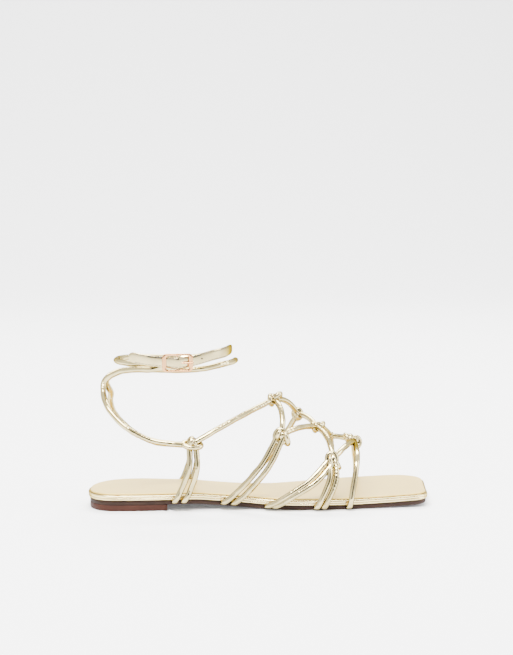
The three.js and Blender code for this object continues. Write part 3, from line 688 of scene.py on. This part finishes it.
def build_heel():
    outline = [
        (0, HEEL_POINT),
        *[p for p in side_outline(LATERAL) if p[0] < HEEL_LENGTH - OUTSOLE_INSET],
        (HEEL_LENGTH, edge(-1, HEEL_LENGTH)),
        (HEEL_LENGTH, edge(1, HEEL_LENGTH)),
        *reversed([p for p in side_outline(MEDIAL) if p[0] < HEEL_LENGTH - OUTSOLE_INSET]),
    ]
    rings = [
        ring(OUTSOLE_INSET + EDGE_ROUND / 2, lambda x: 0, outline),
        ring(OUTSOLE_INSET + EDGE_ROUND / 8, lambda x: EDGE_ROUND / 6, outline),
        ring(OUTSOLE_INSET, lambda x: EDGE_ROUND / 2, outline),
        ring(OUTSOLE_INSET, lambda x: HEEL_LIFT - 0.00025, outline),
        ring(OUTSOLE_INSET + 0.0003, lambda x: HEEL_LIFT, outline),
    ]
    piece = Shape().add_rings(rings).build("heel_skin", heel_brown, "brown_heel", "heel_block")
    faces = piece.data.polygons
    faces.foreach_set("use_smooth", [len(face.vertices) == 4 for face in faces])


# The wrapped board: a rolled upper edge, a crease under it and a lower band
def build_footbed():
    top = lambda x: bed(x) - SOCK - CLEAR
    tall = RIM - SOCK - CLEAR
    profile = [
        (0.55, 0.0), (0.28, 0.03), (0.12, 0.10), (0.10, 0.26), (0.14, 0.36), (0.42, 0.405),
        (0.44, 0.43), (0.16, 0.47), (0.02, 0.56), (-0.03, 0.68), (0.0, 0.80), (0.14, 0.90),
        (0.38, 0.97), (0.75, 1.0), (1.2, 1.0),
    ]
    rings = [
        ring(inset * MM, lambda x, share=share: seam(x) + tall * share)
        for inset, share in profile
    ]
    flat_low = cap_rings(rings[0], lambda x, share: seam(x))[::-1]
    flat_top = cap_rings(rings[-1], lambda x, share: top(x))
    Shape().add_rings([*flat_low, *rings, *flat_top], close=False).build(
        "footbed_skin", rim_gold, "gold_footbed", "footbed"
    )


def build_sock():
    base = lambda x: bed(x) - SOCK
    profile = [(0.0, 0.0), (-0.08, 0.25), (-0.02, 0.6), (0.2, 0.86), (0.55, 0.98), (1.1, 1.0)]
    rings = [
        ring(SOCK_INSET + inset * MM, lambda x, share=share: base(x) + SOCK * share)
        for inset, share in profile
    ]
    flat_low = cap_rings(rings[0], lambda x, share: base(x))[::-1]
    flat_top = cap_rings(rings[-1], lambda x, share: bed(x), steps=12)
    Shape().add_rings([*flat_low, *rings, *flat_top], close=False).build(
        "sock_skin", sock_gold, "sock_leather", "insole_sock"
    )


# Knots
def in_shares(along, across, up):
    return np.array([place(along * LENGTH), across * BALL_HALF, up * INSTEP])


def unit(vector):
    return vector / np.linalg.norm(vector)


def knot_place(name):
    row = KNOTS[name]
    return in_shares(row["along"], row["across"], row["up"])


FINE = 0.0006
LOOP_STEPS = 72
HEART = 1.8


# The full heart of a knot, creased like the folds of a pulled turn
def add_heart(shape, middle, seed):
    pick = random.Random(100 + seed)
    fold = unit(np.array([pick.uniform(-1, 1), pick.uniform(-1, 1), pick.uniform(-0.4, 0.4)]))
    rings = []
    turns = np.arange(SIDES) / SIDES * 2 * math.pi
    for tilt in np.linspace(0.04, math.pi - 0.04, 22):
        out = np.stack([
            np.sin(tilt) * np.cos(turns),
            np.sin(tilt) * np.sin(turns),
            np.full(SIDES, np.cos(tilt)),
        ], axis=1)
        size = HEART * KNOT_CORD * (1 + 0.1 * np.sin(8 * (out @ fold) + seed))
        rings.append(middle + out * size[:, None])
    shape.add_rings(rings)


def add_loop(shape, row, radius, seed):
    turns = np.arange(LOOP_STEPS)[:, None] / LOOP_STEPS * 2 * math.pi
    through = unit(np.array(row["axis"], float))
    long_way = np.array(row["side"], float)
    long_way = unit(long_way - through * np.dot(through, long_way))
    short_way = np.cross(through, long_way)
    middle = knot_place(row["knot"]) + np.array(row["at"]) * KNOT_CORD
    places = (
        middle
        + long_way * np.cos(turns) * row["long"] * KNOT_CORD
        + short_way * np.sin(turns) * row["short"] * KNOT_CORD
    )
    relief = cord_relief(lengths(places)[-1], row["wrinkled"], seed)
    rings = sweep_rings(places, radius, radius, relief=relief, wide_axis=through, closed=True)
    shape.add_rings(rings, close=False)
    close_loop(shape, len(rings))


def build_knots():
    shape = Shape()
    for number, row in enumerate(LOOPS):
        add_loop(shape, row, KNOT_CORD, 40 + number)
    for number, row in enumerate(TURNS):
        add_loop(shape, row, TURN_CORD, 120 + number)
    for number, name in enumerate(KNOTS):
        add_heart(shape, knot_place(name), number)
    shape.build("strap_knots", cord_gold, "gold_leather", "strap_cage")


# Joins the last ring of a closed loop to its first, turned so that the section doesn't twist
def close_loop(shape, count):
    base = len(shape.vertices) - count * SIDES
    first = np.array(shape.vertices[base : base + SIDES])
    last = np.array(shape.vertices[-SIDES:])
    turn = min(range(SIDES), key=lambda k: np.linalg.norm(last - np.roll(first, -k, axis=0)))
    end = base + (count - 1) * SIDES
    for k in range(SIDES):
        a, b = end + k, end + (k + 1) % SIDES
        c, d = base + (k + 1 + turn) % SIDES, base + (k + turn) % SIDES
        shape.faces.append((a, b, c, d))


# Cords between knots
STRAY = 4 * CORD


def build_links():
    shape = Shape()
    for number, row in enumerate(LINKS):
        a, b = knot_place(row["start"]), knot_place(row["end"])
        middle = (a + b) / 2 + np.array([row["toward"], row["out"], row["rise"]]) * STRAY
        t = np.linspace(0, 1, 120)[:, None]
        places = evenly((1 - t) ** 2 * a + 2 * t * (1 - t) * middle + t * t * b, FINE)
        long = lengths(places)[-1]
        shape.add_rings(rounded_ends(sweep_rings(
            places, CORD, CORD,
            relief=cord_relief(long, row["wrinkled"], 60 + number, f"{row['start']} {row['end']}"),
        )))
    shape.build("strap_links", cord_gold, "gold_leather", "strap_cage")


# Legs: from a knot down to the rim, round it and in between footbed and outsole
PAIR_HALF = CORD + CLEAR / 2
LEAN_TOP = 1.6
LEAN_SIDE = 0.7
OFF_RIM = CORD + 3 * CLEAR


def leg_places(row, pair):
    side = row["side"]
    x = row["along"] * LENGTH + pair * row["spread"] * CORD / 2
    over_rim, beside_rim = (x + row["lean"] * RIM * share for share in (LEAN_TOP, LEAN_SIDE))
    tail = seam(x) - 2 * CLEAR - TAIL_THICK / 2

    def beside(station, gap):
        return edge(side, station) + side * gap

    land = np.array([place(over_rim), beside(over_rim, OFF_RIM), bed(over_rim) + CORD])
    knot = knot_place(row["knot"])
    apart = unit(np.cross(land - knot, (0, side, 1)))
    leave = knot + apart * pair * np.sign(apart[0]) * PAIR_HALF
    middle = (leave + land) / 2 + np.array([row["toward"], side * row["out"], row["rise"]]) * CORD
    return [
        leave,
        middle,
        land,
        (place(beside_rim), beside(beside_rim, OFF_RIM + CLEAR), seam(beside_rim) + RIM / 2),
        (place(x), beside(x, CORD + CLEAR), seam(x) - 2 * CLEAR),
        (place(x), beside(x, -CORD), tail),
        (place(x), beside(x, -TAIL_REACH), tail),
    ]


def smoothstep(value, low, high):
    share = np.clip((value - low) / (high - low), 0, 1)
    return share * share * (3 - 2 * share)


def build_legs():
    shape = Shape()
    number = 80
    for row in LEGS:
        pairs = [0] if row["cords"] == 1 else [-1, 1]
        for pair, wrinkled in zip(pairs, row["wrinkled"]):
            places = route(leg_places(row, pair), FINE)
            far = lengths(places)
            flat = 1 - smoothstep(far[-1] - far, TAIL_REACH - 3 * CLEAR, TAIL_REACH + 2 * CORD)
            number += 1
            shape.add_rings(rounded_ends(sweep_rings(
                places,
                CORD + (TAIL_WIDE / 2 - CORD) * flat,
                CORD + (TAIL_THICK / 2 - CORD) * flat,
                power=2 + 1.5 * flat,
                relief=cord_relief(
                    far[-1], wrinkled, number, f"{row['knot']} {row['along']} {pair}"
                ),
                wide_axis=(1, 0, 0),
            )))
    shape.build("strap_legs", cord_gold, "gold_leather", "strap_cage")


# Ankle straps and buckle
FRAME_OUT = STRAP_THICK / 2 + SIDE_ROOM + FRAME_THICK / 2 + 2 * CLEAR
BAR_OUT = 2 * BAR_RADIUS
WRAP = BAR_RADIUS + CLEAR + CHAPE_THICK / 2
HUMP = BAR_OUT + WRAP + (CHAPE_THICK + STRAP_THICK) / 2 - SIDE_ROOM
HUMP_REACH = FRAME_LONG / 2 - FRAME_BAR


def at_buckle(x, out, z):
    return np.array([place(BUCKLE_ALONG * LENGTH) + x, -BUCKLE_OUT - out, BUCKLE_UP + z])


def strap_points(rows):
    return [
        (
            place(row["along"] * LENGTH), row["across"] * ANKLE_HALF,
            row["up"] * BUCKLE_UP, row["flat"],
        )
        for row in rows
    ]


LINE_DEPTH = 0.00012
FULLY_FLAT = 0.97


# The flat strap's relief: a pressed line beside each edge, on both faces
def strap_relief(flat, cord_part):
    def relief(far, turn, around):
        line = np.exp(-((np.abs(np.cos(turn)) - 0.80) / 0.06) ** 2) * np.abs(np.sin(turn))
        share = flat[:, None]
        return cord_part(far, turn, around) * (1 - share) - LINE_DEPTH * line * share

    return relief


TIP_LENGTH = 0.0045


def build_long_strap():
    places = route(strap_points(LONG_STRAP), FINE)
    far = lengths(places)
    flat = places[:, 3]
    away = np.abs(places[:, 0] - at_buckle(0, 0, 0)[0]) / HUMP_REACH
    near = (flat > 0.99) & (away < 1)
    places[near, 1] -= HUMP * np.cos(away[near] * math.pi / 2) ** 2
    tip = np.clip((far[-1] - far) / TIP_LENGTH, 0, 1)
    narrow = 0.55 + 0.45 * np.sqrt(1 - (1 - tip) ** 2)
    Shape().add_rings(rounded_ends(sweep_rings(
        places,
        (CORD + (STRAP_WIDE / 2 - CORD) * flat) * narrow,
        CORD + (STRAP_THICK / 2 - CORD) * flat,
        power=2 + 1.6 * flat,
        relief=strap_relief(flat, cord_relief(far[-1], 0.35, 21, "long")),
        wide_axis=(0, 0, 1),
    ))).build("ankle_strap_long_skin", cord_gold, "gold_leather", "ankle_strap_long")
    return places


def build_short_strap():
    wrap = [at_buckle(-3 * WRAP, -BAR_RADIUS, 0)]
    for angle in (-90, -45, 0, 45, 90, 130):
        turn = math.radians(angle)
        wrap.append(at_buckle(math.cos(turn) * WRAP, BAR_OUT + math.sin(turn) * WRAP, 0))
    points = strap_points(SHORT_STRAP) + [(*point, 1) for point in wrap]
    places = route(points, FINE)
    far = lengths(places)
    flat = places[:, 3]
    Shape().add_rings(rounded_ends(sweep_rings(
        places,
        CORD + (CHAPE_WIDE / 2 - CORD) * flat,
        CORD + (CHAPE_THICK / 2 - CORD) * flat,
        power=2 + 1.6 * flat,
        relief=strap_relief(flat, cord_relief(far[-1], 0.35, 22, "short")),
        wide_axis=(0, 0, 1),
    ))).build("ankle_strap_short_skin", cord_gold, "gold_leather", "ankle_strap_short")


STITCH_STEP = 0.0024
STITCH_LONG = 0.0015
STITCH_RADIUS = 0.00022
STITCH_IN = 0.0009
HOLE_RADIUS = 0.0007
HOLE_AHEAD = 0.017


# Stitches beside both edges of the flat strap, on its outer face, and one hole through it, drawn
# as a near-black disc of painted shade
def build_strap_details(places):
    wide, thin = section_axes(places, (0, 0, 1))
    centre = np.array([places[:, 0].mean(), 0, 0])
    facing = np.sign((thin * (places[:, :3] - centre) * (1, 1, 0)).sum(axis=1))[:, None]
    outer = places[:, :3] + thin * facing * STRAP_THICK / 2
    far = lengths(places)
    flat_start = far[np.argmax(places[:, 3] > FULLY_FLAT)]
    stitches = Shape()
    for start in np.arange(flat_start, far[-1] - TIP_LENGTH - STITCH_LONG, STITCH_STEP):
        for side in (-1, 1):
            line = outer + wide * side * (STRAP_WIDE / 2 - STITCH_IN)
            at = np.linspace(start, start + STITCH_LONG, 6)
            seat = np.stack([np.interp(at, far, line[:, c]) for c in range(3)], axis=1)
            stitch = sweep_rings(seat, STITCH_RADIUS, STITCH_RADIUS)
            stitches.add_rings(rounded_ends(stitch, steps=2))
    stitches.build("strap_stitches", stitch_gold, "gold_leather")
    # The strap's hole: a flat near-black disc on the outer face, painted shade in place of an
    # opening
    wanted = at_buckle(HOLE_AHEAD, 0, 0)[0]
    k = min(np.flatnonzero(places[:, 3] > FULLY_FLAT), key=lambda n: abs(places[n, 0] - wanted))
    ahead = np.cross(wide[k], thin[k])
    turns = np.arange(20)[:, None] / 20 * 2 * math.pi
    around = wide[k] * np.cos(turns) + ahead * np.sin(turns)
    lift = thin[k] * facing[k]
    rings = [
        outer[k] + around * HOLE_RADIUS * size + lift * up
        for size, up in ((1, -0.0002), (1, 0.00004), (0.8, 0.00006), (0.7, 0.00002))
    ]
    Shape().add_rings(rings).build("strap_hole_painted_shade", hole_painted_shade, "gold_leather")


def rounded_rectangle(half_long, half_tall, radius, corner_steps=10):
    corners = [(1, 1, 0), (-1, 1, 90), (-1, -1, 180), (1, -1, 270)]
    points = []
    for across, up, start in corners:
        for k in range(corner_steps + 1):
            turn = math.radians(start + 90 * k / corner_steps)
            points.append((
                across * (half_long - radius) + radius * math.cos(turn),
                up * (half_tall - radius) + radius * math.sin(turn),
            ))
    return points


def build_buckle():
    shape = Shape()
    outer = rounded_rectangle(FRAME_LONG / 2, FRAME_TALL / 2, FRAME_CORNER)
    inner = rounded_rectangle(
        FRAME_LONG / 2 - FRAME_BAR, FRAME_TALL / 2 - FRAME_RAIL, FRAME_CORNER / 2
    )
    turns = [k / 16 * 2 * math.pi for k in range(16)]
    loops = []
    for turn in turns:
        out = (1 + math.copysign(abs(math.cos(turn)) ** 0.6, math.cos(turn))) / 2
        up = math.copysign(abs(math.sin(turn)) ** 0.6, math.sin(turn)) * FRAME_THICK / 2
        loops.append([
            at_buckle(xi + (xo - xi) * out, FRAME_OUT + up, zi + (zo - zi) * out)
            for (xi, zi), (xo, zo) in zip(inner, outer)
        ])
    shape.add_rings([*loops, loops[0]], close=False)
    rail_height = (FRAME_TALL - FRAME_RAIL) / 2
    bar = np.array([at_buckle(0, BAR_OUT, z) for z in np.linspace(-rail_height, rail_height, 12)])
    shape.add_rings(rounded_ends(sweep_rings(bar, BAR_RADIUS, BAR_RADIUS)))
    for z in (-rail_height, rail_height):
        steps = np.linspace(BAR_OUT - BAR_RADIUS, FRAME_OUT, 6)
        post = np.array([at_buckle(0, out, z) for out in steps])
        shape.add_rings(rounded_ends(sweep_rings(post, POST_RADIUS, POST_RADIUS)))
    shape.build("buckle_frame_skin", rose_gold, "rose_gold", "buckle_frame")


def build_prong():
    eye = BAR_RADIUS + CLEAR + PRONG_RADIUS
    rest_out = FRAME_OUT + FRAME_THICK / 2 + CLEAR + PRONG_RADIUS
    points = []
    for angle in (-60, -90, -135, -180, -225, -270):
        turn = math.radians(angle)
        points.append(at_buckle(math.cos(turn) * eye, BAR_OUT + math.sin(turn) * eye, 0))
    tip = FRAME_LONG / 2 - FRAME_BAR / 2
    points += [
        at_buckle(tip * 0.3, BAR_OUT + eye + 0.0009, 0),
        at_buckle(tip * 0.65, rest_out - CLEAR, 0),
        at_buckle(tip + FRAME_BAR / 2, rest_out, 0),
    ]
    places = route(points, FINE / 2)
    Shape().add_rings(rounded_ends(sweep_rings(places, PRONG_RADIUS, PRONG_RADIUS))).build(
        "buckle_prong_skin", rose_gold, "rose_gold", "buckle_prong"
    )


build_outsole()
build_heel()
build_footbed()
build_sock()
build_knots()
build_links()
build_legs()
build_strap_details(build_long_strap())
build_short_strap()
build_buckle()
build_prong()


# Stage: a pale floor that curves up behind the shoe
def build_floor():
    material, tree, shader = new_material("floor")
    shader.inputs["Base Color"].default_value = (0.86, 0.86, 0.86, 1)
    shader.inputs["Roughness"].default_value = 0.9
    shader.inputs["Emission Color"].default_value = (1, 1, 1, 1)
    shader.inputs["Emission Strength"].default_value = 0.15
    near, back, side, bend = -3.0, 1.6, 4.0, 0.8
    profile = [(near, 0.0), (back, 0.0)]
    profile += [
        (back + bend * math.sin(turn), bend * (1 - math.cos(turn)))
        for turn in np.linspace(0, math.pi / 2, 16)[1:]
    ]
    profile.append((back + bend, 3.5))
    vertices = [(x, y, z) for y, z in profile for x in (-side, side)]
    faces = [(2 * k, 2 * k + 1, 2 * k + 3, 2 * k + 2) for k in range(len(profile) - 1)]
    mesh = bpy.data.meshes.new("floor")
    mesh.from_pydata(vertices, [], faces)
    mesh.polygons.foreach_set("use_smooth", [True] * len(mesh.polygons))
    mesh.materials.append(material)
    floor = bpy.data.objects.new("floor", mesh)
    bpy.context.scene.collection.objects.link(floor)


def add_light(name, location, target, size, power):
    light = bpy.data.lights.new(name, "AREA")
    light.shape = "RECTANGLE"
    light.size, light.size_y = size
    light.energy = power
    lamp = bpy.data.objects.new(name, light)
    lamp.location = location
    lamp.rotation_mode = "QUATERNION"
    lamp.rotation_quaternion = (Vector(target) - Vector(location)).to_track_quat("-Z", "Y")
    bpy.context.scene.collection.objects.link(lamp)


def build_world():
    world = bpy.data.worlds.new("studio")
    bpy.context.scene.world = world
    world.use_nodes = True
    background = world.node_tree.nodes["Background"]
    background.inputs["Color"].default_value = (1, 1, 1, 1)
    background.inputs["Strength"].default_value = 2.5


# Camera: a little above the outer side and towards the heel, as the photograph was taken
TARGET = Vector((0.0943, 0, 0.010))
DISTANCE = 1.25
ELEVATION = math.radians(11.6)
AZIMUTH = math.radians(-5.5)
LENS = 93.5
LOWER_SHARE = 0.2437


def build_camera():
    back = Vector((
        math.sin(AZIMUTH) * math.cos(ELEVATION),
        -math.cos(AZIMUTH) * math.cos(ELEVATION),
        math.sin(ELEVATION),
    ))
    data = bpy.data.cameras.new("camera")
    data.lens = LENS
    data.shift_y = LOWER_SHARE
    camera = bpy.data.objects.new("camera", data)
    camera.location = TARGET + back * DISTANCE
    camera.rotation_mode = "QUATERNION"
    camera.rotation_quaternion = (-back).to_track_quat("-Z", "Y")
    bpy.context.scene.collection.objects.link(camera)
    bpy.context.scene.camera = camera


# A dark board behind the camera, which the cords mirror as a dark line. Camera rays pass it, so
# it doesn't stand behind the shoe in the views from the other side.
def build_board():
    material, tree, shader = new_material("board")
    shader.inputs["Base Color"].default_value = (0.02, 0.018, 0.014, 1)
    shader.inputs["Roughness"].default_value = 1.0
    left, right, low, high, away = -0.6, 0.8, 0.08, 1.9, -1.75
    corners = [(left, away, low), (right, away, low), (right, away, high), (left, away, high)]
    mesh = bpy.data.meshes.new("board")
    mesh.from_pydata(corners, [], [(0, 1, 2, 3)])
    mesh.materials.append(material)
    board = bpy.data.objects.new("board", mesh)
    board.visible_camera = False
    bpy.context.scene.collection.objects.link(board)


build_floor()
build_board()
build_world()
build_camera()
add_light("key", (-0.3, -0.6, 1.7), (0.1, 0, 0), (1.2, 0.4), 120)
add_light("back", (0.3, 1.2, 1.7), (0.1, 0, 0), (1.4, 0.5), 110)
add_light("side", (1.5, -0.3, 0.7), (0.1, 0, 0.03), (0.6, 1.0), 24)
